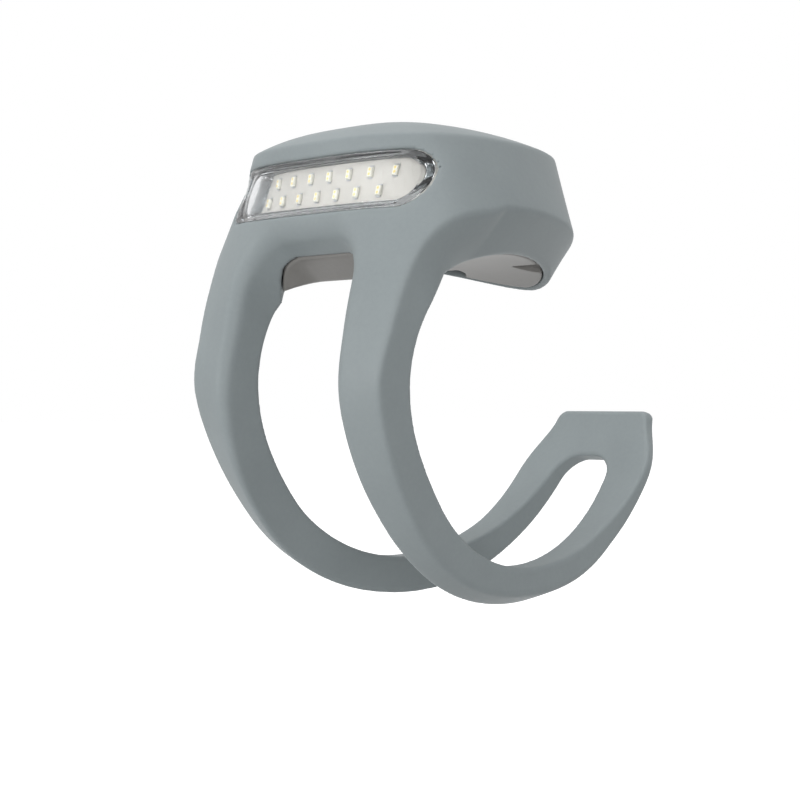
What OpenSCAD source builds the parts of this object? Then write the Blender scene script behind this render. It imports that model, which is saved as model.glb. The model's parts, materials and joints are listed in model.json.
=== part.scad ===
// Strap-on bicycle rear light.
// A one-piece silicone jacket holds a rechargeable lamp pod. Two legs grow out of
// the jacket, run round the bar and join in a loop that hooks over the tail.
// Origin: on the bar axis. X lies along the bar, the lens faces -Y, +Z is up.

/* [Bar seat] */
// Smallest inner radius of the relaxed strap
seat_r = 15.8; // [15.6:0.1:16.2]
// Radius of the shallow saddle under the pod
saddle_r = 32; // [30:0.5:36]
// Height of the saddle's crown above the bar axis
saddle_z = 11.9; // [11.7:0.1:12.1]
// Distance of the saddle's crown in front of the bar axis
saddle_y = 1.2; // [0.8:0.1:1.6]

/* [Head] */
// Height of the rim where the side wall meets the dome
rim_z = 21.3; // [21.1:0.1:21.6]
// Width of the head at the rim
head_w = 25.4; // [25:0.1:25.8]
// Reach of the nose in front of the bar axis, at the rim
nose = 17.3; // [17:0.1:17.6]
// Reach of the tail behind the bar axis, at the rim
tail = 10.8; // [10.5:0.1:11.1]
// Distance of the widest section in front of the bar axis
widest = 8.9; // [8.5:0.1:9.3]
// How far the nose moves forward from the rim down to the bar axis
nose_flare = 3.7; // [3.5:0.1:3.9]
// Sideways draft of the side wall, in mm for each mm of height
side_draft = 0.45; // [0.42:0.01:0.48]
// Draft of the tail wall, in mm for each mm of height
tail_draft = 0.12; // [0.1:0.01:0.15]
// Height of the dome above the rim
dome_h = 2.05; // [1.95:0.05:2.3]
// How flat the dome is on top before it falls to the rim
dome_n = 2.85; // [2.7:0.05:3]
// Squareness of the outline's front half
front_n = 3.0; // [2.8:0.1:3.2]
// Squareness of the outline's rear half
rear_n = 1.7; // [1.65:0.05:1.8]
// Height of the crease between side wall and flank at the widest section
flank_z = 15.1; // [14.9:0.1:15.2]
// Half-width of the underside where the flank ends
under_w = 11.2; // [11:0.1:11.4]
// Reach of the underside behind the bar axis
under_tail = 10.6; // [10.4:0.1:10.7]

/* [Strap] */
// Half-width over both legs at the head
leg_out_top = 13.7; // [13.5:0.1:13.9]
// Half-width over both legs at the tab
leg_out_tip = 7.9; // [7.7:0.1:8.1]
// Half-width of the gap between the legs at the head
gap_top = 7.1; // [6.9:0.1:7.3]
// Half-width of the gap at its widest, low in front of the bar
gap_mid = 8.35; // [8.2:0.05:8.5]
// Half-width of the gap at the tab end
gap_tip = 2.8; // [2.6:0.1:3]
// Thickness at the legs' outer sides near the head
strap_t_top = 4.5; // [4.3:0.1:4.7]
// Thickness at the legs' outer sides in front of the bar
strap_t_mid = 3.15; // [3:0.05:3.3]
// Thickness at the legs' outer sides under the bar
strap_t = 2.45; // [2.3:0.05:2.6]
// Thickness at the tab's sides
strap_t_tip = 0.85; // [0.75:0.05:1]
// Extra thickness along the middle line of the strap
crown = 2.0; // [1.8:0.1:2.2]
// How far the relaxed legs bow forward in front of the bar
bow = 1.4; // [1.2:0.1:1.6]
// How far the tab end stands off the seat circle
tab_lift = 5.3; // [5:0.1:5.6]
// Angle at which the gap ends, from +Y through the front
gap_end = 341; // [340:1:343]
// Angle at which the tab ends
tab_end = 354.5; // [353.5:0.5:355]
// Height of the gap's ceiling where it meets the bar seat
ceiling_z = 9.8; // [9.7:0.1:9.9]
// Radius of the gap's corners under the ceiling
gap_round = 4.0; // [3.8:0.1:4.2]
// Height of the plane where the legs flex
split_z = 6.0; // [5.6:0.1:6.4]

/* [Silicone jacket] */
// Wall of silicone round the pod
skin = 1.8; // [1.7:0.1:1.9]
// Silicone over the button at the dome's crown
dome_skin = 1.2; // [1.1:0.05:1.3]
// Half-length of the lens window
window_l = 12.75; // [12.65:0.05:12.85]
// Half-height of the lens window, and radius of its round ends
window_r = 2.48; // [2.44:0.02:2.52]
// Height of the window's middle line
window_z = 17.48; // [17.44:0.02:17.52]

/* [Lamp pod] */
// Wall of the moulded pod
pod_wall = 1.0; // [0.9:0.05:1.1]
// Floor of the pod over the saddle
floor_t = 1.3; // [1.2:0.1:1.4]
// Height of the joint between pod base and pod cover
joint_z = 14.9; // [14.8:0.1:15]
// Half-width of the front lobe of the pod base, between the legs
lobe_w = 7.0; // [6.8:0.1:7.2]
// Reach of the front lobe in front of the bar axis
lobe_y = 15.9; // [15.8:0.1:16]
// Depth of the lens border behind the silicone
lens_lip = 0.1; // [0.05:0.05:0.2]
// Depth of the lens face behind the silicone
lens_recess = 0.5; // [0.4:0.05:0.6]
// Wall of the lens behind its face
lens_t = 0.9; // [0.8:0.05:1]
// Width of the lens border at the round ends
border_end = 1.2; // [1.1:0.1:1.3]
// Width of the lens border above and below
border_side = 0.35; // [0.3:0.05:0.4]
// Number of emitters in the upper row, and in the lower row
led_per_row = 7; // [5:1:7]
// Distance between emitters in a row
led_pitch = 2.45; // [2.3:0.05:2.5]
// Height of an emitter
led_l = 1.0; // [0.9:0.05:1.1]
// Width of an emitter
led_w = 0.5; // [0.45:0.05:0.6]
// Distance between the two rows
row_gap = 1.7; // [1.6:0.1:1.8]

/* [Works] */
// Thickness of the main board
board_t = 0.8; // [0.7:0.1:0.9]
// Width of the battery along the bar
cell_w = 14.8; // [14.2:0.2:14.8]
// Length of the battery from front to back
cell_l = 11.2; // [10.6:0.2:11.2]
// Thickness of the battery
cell_t = 3.3; // [3.1:0.1:3.4]
// Thickness of the foam pad on the battery
pad_t = 0.5; // [0.4:0.05:0.6]
// Width of the charging socket
usb_w = 8.94; // [8.9:0.02:9]
// Height of the charging socket
usb_h = 3.2; // [3.1:0.02:3.24]
// Depth of the charging socket
usb_d = 7.3; // [7:0.1:7.4]
// Radius of the button's head
button_r = 4.2; // [4:0.1:4.3]
// Radius of the button's stem
stem_r = 1.3; // [1.2:0.05:1.4]
// Height of the button's head
button_h = 1.1; // [1:0.05:1.2]
// Travel of the button and the switch
travel = 0.3; // [0.25:0.01:0.35]
// Room between the main board and the roof of the pod
room_above = 1.75; // [1.7:0.05:1.8]
// Height of the switch's body
switch_h = 0.9; // [0.85:0.05:0.95]

/* [Hidden] */

ring_n = 56;         // points round a plan outline
round_n = 32;        // facets of round parts
fit = 0.1;           // clearance between parts that seat in each other
far_out = 40;        // safely beyond the object
silicone = [0.60, 0.64, 0.65];
plate_grey = [0.62, 0.60, 0.58];
saddle_c = saddle_z - saddle_r;
cavity_top = rim_z + dome_h - dome_skin;
ledge_z = joint_z - 0.5;   // ledge of silicone the pod rests on
ledge_slim = 0.5;          // how much narrower the pod is at the ledge

// Smooth step from 0 to 1, and linear mix
function ramp(t) = let (s = max(0, min(1, t))) s * s * (3 - 2 * s);
function mix(a, b, t) = a + (b - a) * t;
function power(v, n) = sign(v) * pow(abs(v), n);

// Plan outline of the head at height z, moved inwards by inset, and by slim more at its sides
function half_w(z) = head_w / 2 + side_draft * (rim_z - z);
function nose_y(z) = nose + nose_flare * pow(sin(90 * max(0, rim_z - z) / rim_z), 1.6);
function tail_y(z) = tail + tail_draft * (rim_z - z);
function outline_point(w, front, rear, a) =
  let (n = a < 180 ? rear_n : front_n, reach = a < 180 ? rear + widest : front - widest)
  [w * power(cos(a), 2 / n), reach * power(sin(a), 2 / n) - widest];
function ring(z, inset = 0, slim = 0) = [
  for (i = [0 : ring_n - 1])
    let (p = outline_point(half_w(z) - inset - slim, nose_y(z) - inset, tail_y(z) - inset, i * 360 / ring_n))
    [p[0], p[1], z]
];
// The outline drawn in to the share k of its size, about the widest section
function dome_ring(z, k, inset) = [for (p = ring(rim_z, inset)) [p[0] * k, (p[1] + widest) * k - widest, z]];

// Height of the saddle at y, and its distance from the bar axis in direction a
function saddle_at(y) = saddle_c + sqrt(saddle_r * saddle_r - pow(y + saddle_y, 2));
function saddle_reach(a) =
  let (d = -saddle_y * cos(a) + saddle_c * sin(a))
  d + sqrt(d * d + saddle_r * saddle_r - saddle_y * saddle_y - saddle_c * saddle_c);
function seat_reach(a) = min(strap_in(a), saddle_reach(a));

// Strap section: widths, inner radius and thickness at angle a, which runs from +Y over +Z to the front
strap_start = 140;
function leg_out(a) = mix(leg_out_top, leg_out_tip, min(1, (a - strap_start) / 172));
function gap_half(a) =
  mix(gap_top, gap_mid, ramp((a - 160) / 60)) - (gap_mid - gap_tip) * pow(max(0, a - 225) / 125, 1.38);
function bow_out(a) = a > 130 && a < 225 ? bow * pow(sin(180 * (a - 130) / 95), 2) : 0;
function strap_in(a) = seat_r + bow_out(a) + tab_lift * pow(max(0, a - 260) / (tab_end - 260), 2);
function side_t(a) =
  mix(mix(mix(strap_t_top, strap_t_mid, ramp((a - 130) / 70)), strap_t, ramp((a - 215) / 60)),
      strap_t_tip, ramp((a - 290) / 62));
function crown_t(a) = crown * mix(0.3, 1, ramp((a - 165) / 45)) * mix(1, 0.35, ramp((a - 250) / 45));

// A solid through a list of rings with the same number of points
module loft(rings) {
  n = len(rings[0]);
  m = len(rings);
  polyhedron(
    points = [for (r = rings) each r],
    faces = concat(
      [[for (i = [0 : n - 1]) i]],
      [for (k = [0 : m - 2], i = [0 : n - 1]) [k * n + i, (k + 1) * n + i, (k + 1) * n + (i + 1) % n]],
      [for (k = [0 : m - 2], i = [0 : n - 1]) [k * n + i, (k + 1) * n + (i + 1) % n, k * n + (i + 1) % n]],
      [[for (i = [n - 1 : -1 : 0]) (m - 1) * n + i]]
    ),
    convexity = 8
  );
}

// The head as a solid from height z0 up to the dome, moved inwards by inset
function dome_rings(inset, top) = concat(
  [ring(rim_z, inset)],
  [for (s = [0.97, 0.82, 0.67, 0.52, 0.37, 0.22, 0.07]) dome_ring(rim_z + top * (1 - pow(s, dome_n)), s, inset)]
);
module head_solid(z0, inset = 0, top = dome_h) {
  loft(concat([for (k = [0 : 4]) ring(mix(z0, rim_z, k / 5), inset)], dome_rings(inset, top)));
}

// The head's wall surface moved inwards by inset, from z0 to z1, as a solid
module wall_solid(z0, z1, inset) {
  loft([for (k = [0 : 4]) ring(mix(z0, z1, k / 4), inset)]);
}

// A round-ended bar through the window, from the distance y in front of the bar: half-length l, half-height r
window_back = widest + 3.5;
flange_back = widest + 2.1;
module stadium(l, r, y = window_back) {
  translate([0, -y, window_z]) rotate([90, 0, 0]) linear_extrude(far_out) union() {
    for (s = [-1, 1]) translate([s * (l - r), 0]) circle(r, $fn = round_n);
    square([2 * (l - r), 2 * r], center = true);
  }
}

// Everything inside the bar seat: the strap's inner face, under the saddle
module bar_space() {
  intersection() {
    rotate([90, 0, 90]) translate([0, 0, -far_out]) linear_extrude(2 * far_out)
      polygon([for (a = [0 : 4 : 356]) let (r = a < 100 ? 2 * seat_r : min(strap_in(a), 1.25 * seat_r))
        [r * cos(a), r * sin(a)]]);
    translate([0, -saddle_y, saddle_c])
      rotate([0, 90, 0]) cylinder(r = saddle_r, h = 2 * far_out, center = true, $fn = 120);
  }
}

// Flank: a ruled face from the underside's edge out to the crease on the side wall.
// Each station gives the inner and the outer point; the solid beyond it is cut away.
crease_tail = 12.9;
function crease_z(y) = mix(flank_z, crease_tail, pow(max(0, y + widest) / (widest + tail), 2));
function flank_rear(a) =
  let (i = outline_point(under_w, nose, under_tail, a),
       z = flank_z,
       o = outline_point(half_w(z), nose_y(z), tail_y(crease_tail), a))
  [[i[0], i[1], saddle_at(i[1])], [o[0], o[1], crease_z(o[1])]];
inner_a0 = atan2(saddle_at(-widest), -widest);
outer_a0 = atan2(flank_z, -widest);
outer_r0 = norm([flank_z, widest]);
function leg_out_r(a) = strap_in(a) + side_t(a) + 0.3;
function flank_front(t) =
  let (ai = mix(inner_a0, 160, t),
       ao = mix(outer_a0, 160, t),
       ri = seat_reach(ai),
       ro = mix(outer_r0, leg_out_r(160), ramp(1.25 * t)),
       xi = mix(under_w, leg_out(ai), ramp(1.1 * t)),
       xo = mix(half_w(flank_z), leg_out(ao), ramp(1.15 * t)))
  [[xi, ri * cos(ai), ri * sin(ai)], [xo, ro * cos(ao), ro * sin(ao)]];
function flank_leg(a) = [
  [leg_out(a), seat_reach(a) * cos(a), seat_reach(a) * sin(a)],
  [leg_out(a), leg_out_r(a) * cos(a), leg_out_r(a) * sin(a)]
];
module flank_cut() {
  beyond = 1.6;
  past_tail = [[-0.05, tail + 6, saddle_at(under_tail)], [-0.05, tail + 6, crease_tail]];
  stations = concat(
    [past_tail],
    [for (a = [90, 84, 77, 70, 61, 51, 40, 28, 14]) flank_rear(a)],
    [for (k = [0 : 7]) flank_front(k / 7)],
    [for (a = [165, 172, 180]) flank_leg(a)]
  );
  rings = [
    for (s = stations)
      let (i = s[0] + (s[0] - s[1]) * 0.35, o = s[0] + (s[1] - s[0]) * beyond)
      [i, [far_out, i[1], i[2]], [far_out, o[1], o[2]], o]
  ];
  for (m = [0, 1]) mirror([m, 0, 0]) loft(rings);
}

// Gap between the legs. Its ceiling slopes down from the nose to the bar seat.
gap_slope = 37;
module gap_cut() {
  y0 = -0.86 * seat_r;
  translate([0, y0, ceiling_z])
    rotate([90 - gap_slope, 0, 0])
      translate([0, 0, -seat_r / 2]) linear_extrude(1.5 * seat_r)
        offset(r = gap_round, $fn = 32) offset(delta = -gap_round)
          translate([-gap_top, -1.5 * seat_r]) square([2 * gap_top, 1.5 * seat_r]);
}

// Strap section at angle a as a ring of points: the band, or the gap in it
function strap_ring(a) =
  let (corner = ramp((a - 342) / (tab_end - 342)),
       x = leg_out(a) * (1 - 0.3 * corner * corner),
       ri = strap_in(a) - (a < 300 ? 1 : 0),
       ro = strap_in(a) + side_t(a),
       top = crown_t(a),
       soft = 0.2 * side_t(a))
  [
    for (p = concat(
      [[-x, ri], [x, ri], [x, ro - soft], [x - 0.3 * soft, ro - 0.35 * soft]],
      [for (k = [0.94, 0.8, 0.62, 0.4, 0.2, 0, -0.2, -0.4, -0.62, -0.8, -0.94]) [k * x, ro + top * (1 - k * k)]],
      [[0.3 * soft - x, ro - 0.35 * soft], [-x, ro - soft]]
    )) [p[0], p[1] * cos(a), p[1] * sin(a)]
  ];
function gap_ring(a, half) =
  let (near = strap_in(a) - strap_t_top, far = strap_in(a) + 2 * strap_t_top)
  [for (p = [[-half, near], [half, near], [half, far], [-half, far]]) [p[0], p[1] * cos(a), p[1] * sin(a)]];
module strap_gap() {
  end_round = 3.2;
  loft(concat(
    [for (a = [150 : 8 : gap_end - 6]) gap_ring(a, gap_half(a))],
    [for (t = [0.5, 0.75, 0.9, 1])
      let (a = gap_end - end_round * (1 - t) * 2)
      gap_ring(a, gap_half(a) * sqrt(1 - 0.72 * pow(t, 4)))]
  ));
}
module strap_band(a0) {
  loft(concat([for (a = [a0 : 6 : 344]) strap_ring(a)], [for (a = [347, 350, 352, 353.6, tab_end]) strap_ring(a)]));
}

// Plan of the pod base: a wide rear part and a lobe that shows between the legs
module base_plan(inset) {
  offset(r = -2, $fn = 32) offset(r = 2) union() {
    polygon([
      for (i = [0 : ring_n - 1])
        outline_point(under_w - 0.7 - inset, widest + 5.2 - inset, under_tail - 0.7 - inset, i * 360 / ring_n)
    ]);
    offset(r = 2) translate([-lobe_w + inset + 2, -lobe_y + inset + 2]) square([2 * (lobe_w - inset - 2), 8]);
  }
}
// Space for the pod inside the jacket: a well through the underside, and a wider part above a ledge
module pod_space() {
  translate([0, 0, 4]) linear_extrude(ledge_z - 4 + fit) base_plan(0);
  upper_space(ledge_z, skin, cavity_top - rim_z);
}
module upper_space(z0, inset, top) {
  loft(concat(
    [ring(z0, inset, ledge_slim), ring(z0 + 0.8, inset), ring(mix(z0, rim_z, 0.5), inset)],
    dome_rings(inset, top)
  ));
}

module below_split() {
  translate([-far_out, -far_out, split_z - 2 * far_out]) cube([2 * far_out, 2 * far_out, 2 * far_out]);
}

module silicone_jacket() {
  color(silicone) difference() {
    head_solid(split_z - 1);
    below_split();
    bar_space();
    flank_cut();
    gap_cut();
    stadium(window_l, window_r);
    pod_space();
  }
}

module strap_loop() {
  color(silicone) difference() {
    intersection() {
      union() {
        strap_band(166);
        wall_solid(0, split_z + 0.5, 0);
      }
      below_split();
    }
    bar_space();
    strap_gap();
    flank_cut();
  }
}

// A layer that follows the nose behind the window, between two insets from the outline
layer_half = 4;
module nose_layer(near, far) {
  difference() {
    wall_solid(window_z - layer_half, window_z + layer_half, near);
    wall_solid(window_z - layer_half, window_z + layer_half, far);
  }
}
flange_in = skin + fit;       // inset of the lens flange's front face
flange_out = flange_in + 0.5; // inset of its back face, and of the emitter board's front
flange_r = window_r + 0.47;
flange_l = window_l + 0.4;
board_in = flange_out + 0.4;  // inset of the emitter board's back face
board_l = window_l - 1.6;
board_r = window_r - 0.6;
module lens() {
  face_l = window_l - border_end;
  face_r = window_r - border_side;
  color([0.92, 0.94, 0.95, 0.5]) difference() {
    union() {
      intersection() {
        stadium(window_l - fit / 2, window_r - fit / 2, window_back + fit);
        nose_layer(lens_lip, flange_out);
      }
      intersection() {
        stadium(flange_l, flange_r, flange_back);
        nose_layer(flange_in, flange_out);
      }
    }
    intersection() {
      stadium(face_l, face_r);
      nose_layer(-skin, lens_recess);
    }
    intersection() {
      stadium(face_l - 0.4, face_r - 0.3, window_back - 0.6);
      nose_layer(lens_recess + lens_t, flange_out + skin);
    }
  }
}
module lens_gasket() {
  color([0.12, 0.12, 0.13]) intersection() {
    difference() {
      stadium(flange_l - 0.3, flange_r - 0.15, flange_back);
      stadium(board_l + fit, board_r + fit, flange_back - fit);
    }
    nose_layer(flange_out, flange_out + 0.3);
  }
}
module led_board() {
  color([0.93, 0.93, 0.9]) intersection() {
    stadium(board_l, board_r);
    nose_layer(flange_out, board_in);
  }
}
// Emitters in two rows; the lower row sits half a pitch to the side
module leds() {
  color([0.95, 0.9, 0.6]) intersection() {
    for (row = [-1, 1], i = [0 : led_per_row - 1])
      translate([(i - (led_per_row - 1) / 2 + row / 4) * led_pitch - led_w / 2, -30, window_z + row * row_gap / 2 - led_l / 2])
        cube([led_w, 18, led_l]);
    nose_layer(flange_out - 0.3, flange_out);
  }
}
flex_w = 4;
module led_carrier() {
  color([0.85, 0.85, 0.83]) difference() {
    intersection() {
      stadium(window_l - 0.3, window_r - fit);
      nose_layer(board_in, board_in + 1);
    }
    translate([-flex_w / 2 - fit, -30, board_z + board_t - fit]) cube([flex_w + 2 * fit, 40, 0.35]);
  }
}
module led_flex() {
  y0 = nose_y(board_z + board_t) - board_in - 0.05;
  color([0.75, 0.5, 0.15]) translate([-flex_w / 2, -y0, board_z + board_t]) cube([flex_w, 2.5, 0.15]);
}

// Pod base: the hard plate under the jacket with its walls and its flange on the ledge
post_x = 9.6;
post_y = -7;
module saddle_cylinder(r) {
  translate([0, -saddle_y, saddle_c]) rotate([0, 90, 0]) cylinder(r = r, h = 2 * far_out, center = true, $fn = 120);
}
module lens_opening() {
  stadium(flange_l + 0.3, flange_r + fit, flange_back - fit);
}
module usb_opening() {
  translate([0, usb_y + usb_d / 2, usb_z]) rotate([-90, 0, 0]) linear_extrude(2 * usb_d)
    round_shape(usb_w + 0.3, usb_h + 0.3, usb_h / 2 - 0.1);
}
// A rectangle with round corners, centred
module round_shape(w, l, r) {
  square([w - 2 * r, l], center = true);
  square([w, l - 2 * r], center = true);
  for (i = [-1, 1], j = [-1, 1]) translate([i * (w / 2 - r), j * (l / 2 - r)]) circle(r, $fn = 24);
}
module scoops() {
  scoop_y = 4.1;
  scoop_r = 2.8;
  intersection() {
    saddle_cylinder(saddle_r + 0.5);
    translate([0, 0, 5]) linear_extrude(10) for (s = [-1, 1]) intersection() {
      translate([s * 6.4, scoop_y]) circle(scoop_r, $fn = 40);
      translate([s * 6.4 - scoop_r, scoop_y]) square([2 * scoop_r, scoop_r]);
    }
  }
}
module pod_base() {
  flange_z = ledge_z + fit;
  color(plate_grey) difference() {
    union() {
      translate([0, 0, 4]) linear_extrude(joint_z - 4) base_plan(fit);
      loft([ring(flange_z, flange_in, ledge_slim), ring(joint_z, flange_in, ledge_slim * 0.4)]);
      for (s = [-1, 1]) translate([s * post_x, post_y, flange_z]) cylinder(r = 1.3, h = board_z - flange_z, $fn = 32);
    }
    bar_space();
    gap_cut();
    difference() {
      translate([0, 0, 8]) linear_extrude(10) difference() {
        base_plan(fit + pod_wall);
        for (s = [-1, 1]) translate([s * post_x, post_y]) circle(1.3, $fn = 32);
      }
      saddle_cylinder(saddle_r + floor_t);
      translate([0, 0, floor_t / cos(gap_slope)]) gap_cut();
    }
    lens_opening();
    usb_opening();
    scoops();
    for (s = [-1, 1]) translate([s * post_x, post_y, joint_z - 0.4]) cylinder(r = 0.65, h = 5, $fn = 24);
  }
}

// Pod cover: walls, roof and the recess for the button
button_y = -7.8;
button_top = cavity_top - 0.3;
button_under = button_top - button_h;
recess_z = button_under - travel - fit;
roof_z = recess_z - 0.5;
module pod_cover() {
  color([0.2, 0.2, 0.21]) difference() {
    loft(concat(
      [ring(joint_z, flange_in, ledge_slim * 0.4), ring(ledge_z + 0.8, flange_in), ring(18, flange_in)],
      dome_rings(flange_in, cavity_top - rim_z - fit)
    ));
    loft([
      ring(joint_z - 0.1, flange_in + pod_wall, ledge_slim * 0.4),
      ring(ledge_z + 0.8, flange_in + pod_wall),
      ring(18, flange_in + pod_wall),
      ring(roof_z, flange_in + pod_wall)
    ]);
    seal_ring(joint_z - 0.1, seal_h + 0.1 + fit / 2, fit / 2);
    lens_opening();
    usb_opening();
    translate([0, button_y, recess_z]) cylinder(r = button_r + 0.3, h = 5, $fn = 64);
    translate([0, button_y, roof_z - 1]) cylinder(r = stem_r + 0.2, h = 5, $fn = 32);
  }
}
seal_h = 0.3;
module seal_ring(z, h, grow) {
  difference() {
    loft([ring(z, flange_in + 0.35 - grow, ledge_slim * 0.4), ring(z + h, flange_in + 0.35 - grow, ledge_slim * 0.4)]);
    loft([ring(z - 1, flange_in + 0.7 + grow, ledge_slim * 0.4), ring(z + h + 1, flange_in + 0.7 + grow, ledge_slim * 0.4)]);
  }
}
module pod_seal() {
  color([0.1, 0.1, 0.1]) difference() {
    seal_ring(joint_z, seal_h, 0);
    lens_opening();
    usb_opening();
  }
}

// Power button and the switch under it
module power_button() {
  edge = 0.3;
  color([0.25, 0.25, 0.27]) translate([0, button_y, 0]) {
    rotate_extrude($fn = 64) polygon([
      [0, button_under], [button_r, button_under], [button_r, button_top - 2 * edge],
      [button_r - edge, button_top - edge], [button_r / 2, button_top - 0.1], [0, button_top]
    ]);
    translate([0, 0, switch_top + fit / 2]) cylinder(r = stem_r, h = button_under - switch_top, $fn = 32);
  }
}
board_z = roof_z - room_above - board_t;
switch_floor = 0.15;
stem_guide = 0.95;
switch_top = board_z + board_t + switch_h + travel + fit / 2;
module button_seal() {
  seal_r = 0.38;
  color([0.1, 0.1, 0.1]) translate([0, button_y, roof_z - seal_r])
    rotate_extrude($fn = 40) translate([stem_r + 0.05 + seal_r, 0]) circle(seal_r, $fn = 16);
}
module switch_body() {
  color([0.7, 0.71, 0.72]) translate([0, button_y, board_z + board_t]) difference() {
    linear_extrude(switch_h) round_shape(3.9, 2.9, 0.4);
    translate([0, 0, switch_floor]) cylinder(r = stem_guide, h = switch_h, $fn = 32);
  }
}
module switch_stem() {
  z0 = board_z + board_t + switch_floor + travel + fit;
  color([0.15, 0.15, 0.15]) translate([0, button_y, z0]) cylinder(r = stem_guide - fit, h = switch_top - z0, $fn = 32);
}

// Boards, battery and charging socket
module main_board() {
  z = board_z + board_t / 2;
  color([0.1, 0.35, 0.2]) translate([0, 0, board_z]) linear_extrude(board_t) difference() {
    polygon([
      for (i = [0 : ring_n - 1])
        outline_point(half_w(z) - 3.4, nose_y(z) - 4.3, tail_y(z) - 3.4, i * 360 / ring_n)
    ]);
    for (s = [-1, 1]) translate([s * post_x, post_y]) circle(0.7, $fn = 24);
  }
}
module board_chips() {
  color([0.12, 0.12, 0.13]) translate([0, 0, board_z + board_t]) {
    translate([-5.5, -1, 0]) cube([3, 3, 0.8]);
    translate([3, -2.6, 0]) cube([2.5, 2, 1.1]);
    for (i = [0 : 3]) translate([-1.6 + i * 0.9, 1.4, 0]) cube([0.5, 1, 0.5]);
    for (i = [0 : 2]) translate([4.5 + i * 0.9, -10.5, 0]) cube([0.5, 1, 0.5]);
  }
}
module board_screws() {
  color([0.75, 0.75, 0.76]) for (s = [-1, 1]) translate([s * post_x, post_y, 0]) difference() {
    union() {
      translate([0, 0, board_z + board_t]) cylinder(r = 1.1, h = 0.6, $fn = 32);
      translate([0, 0, joint_z]) cylinder(r = 0.6, h = board_z + board_t - joint_z, $fn = 24);
    }
    for (a = [0, 90]) rotate(a) translate([-0.6, -0.15, board_z + board_t + 0.3]) cube([1.2, 0.3, 1]);
  }
}
cell_z = saddle_z + floor_t + 0.1;
cell_back = -0.8;
lead_r = 0.3;
lead_y = cell_back + 2 * lead_r;
module battery_cell() {
  color([0.75, 0.77, 0.8]) translate([0, cell_back - cell_l / 2, cell_z]) linear_extrude(cell_t)
    round_shape(cell_w, cell_l, 1.2);
}
module battery_pad() {
  color([0.2, 0.2, 0.22]) translate([0, cell_back - cell_l / 2, cell_z + cell_t]) linear_extrude(pad_t)
    round_shape(cell_w - 4, cell_l - 3, 0.6);
}
module battery_leads() {
  lead_z = cell_z + cell_t * 0.6;
  color([0.6, 0.1, 0.1]) for (x = [-1, 1]) translate([x, lead_y, lead_z]) {
    sphere(lead_r, $fn = 16);
    cylinder(r = lead_r, h = board_z - lead_z, $fn = 16);
    rotate([90, 0, 0]) cylinder(r = lead_r, h = 2 * lead_r, $fn = 16);
  }
}
usb_y = lead_y + lead_r + 0.15;
usb_z = board_z - usb_h / 2;
usb_wall = 0.3;
module usb_shell() {
  color([0.78, 0.78, 0.79]) translate([0, usb_y, usb_z]) rotate([-90, 0, 0]) difference() {
    linear_extrude(usb_d) round_shape(usb_w, usb_h, usb_h / 2 - 0.3);
    translate([0, 0, 0.8]) linear_extrude(usb_d)
      round_shape(usb_w - 2 * usb_wall, usb_h - 2 * usb_wall, usb_h / 2 - 0.3 - usb_wall);
  }
}
module usb_tongue() {
  color([0.1, 0.1, 0.11]) translate([-3.35, usb_y + 0.8, usb_z - 0.35]) cube([6.7, usb_d - 1.6, 0.7]);
}
module charge_led() {
  color([0.9, 0.6, 0.4]) translate([-0.8, 5.6, board_z + board_t]) cube([1.6, 0.8, 0.5]);
}

silicone_jacket();
strap_loop();
lens();
lens_gasket();
led_carrier();
led_board();
leds();
led_flex();
pod_base();
pod_cover();
pod_seal();
power_button();
button_seal();
switch_body();
switch_stem();
main_board();
board_chips();
board_screws();
battery_cell();
battery_pad();
battery_leads();
usb_shell();
usb_tongue();
charge_led();
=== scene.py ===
import bpy
import json
import math
import numpy as np
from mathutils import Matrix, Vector


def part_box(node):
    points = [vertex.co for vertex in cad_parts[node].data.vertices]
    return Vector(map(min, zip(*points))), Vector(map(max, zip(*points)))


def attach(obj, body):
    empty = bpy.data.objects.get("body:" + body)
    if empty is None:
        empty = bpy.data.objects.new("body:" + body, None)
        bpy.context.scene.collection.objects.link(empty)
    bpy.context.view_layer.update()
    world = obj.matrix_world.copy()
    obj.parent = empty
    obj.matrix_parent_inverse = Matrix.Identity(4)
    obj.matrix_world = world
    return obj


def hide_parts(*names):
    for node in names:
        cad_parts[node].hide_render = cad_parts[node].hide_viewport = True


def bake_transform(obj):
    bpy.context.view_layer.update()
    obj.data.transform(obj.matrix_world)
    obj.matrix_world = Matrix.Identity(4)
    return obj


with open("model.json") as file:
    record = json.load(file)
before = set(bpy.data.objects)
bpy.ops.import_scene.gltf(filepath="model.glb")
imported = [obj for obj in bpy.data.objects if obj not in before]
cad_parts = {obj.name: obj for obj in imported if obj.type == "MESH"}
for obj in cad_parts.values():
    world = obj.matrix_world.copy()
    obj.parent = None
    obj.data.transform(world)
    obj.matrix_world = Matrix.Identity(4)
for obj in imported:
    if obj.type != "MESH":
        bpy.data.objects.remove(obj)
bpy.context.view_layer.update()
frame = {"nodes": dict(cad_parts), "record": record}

MM = 0.001
# The head: plan outlines from the rim down, the dome over the rim, the flank and the saddle under it
SEAT_R, SADDLE_R, SADDLE_Z, SADDLE_Y = 15.8, 32.0, 11.9, 1.2
SADDLE_C = SADDLE_Z - SADDLE_R
RIM_Z, HEAD_W, NOSE, TAIL, WIDEST = 21.3, 25.4, 17.3, 10.8, 8.9
NOSE_FLARE, SIDE_DRAFT, TAIL_DRAFT, FRONT_N, REAR_N = 4.0, 0.45, 0.12, 3.0, 1.7
DOME_H, DOME_N = 2.05, 2.85
FLANK_Z, CREASE_TAIL, UNDER_W, UNDER_TAIL = 15.1, 12.9, 11.2, 10.85
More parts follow.
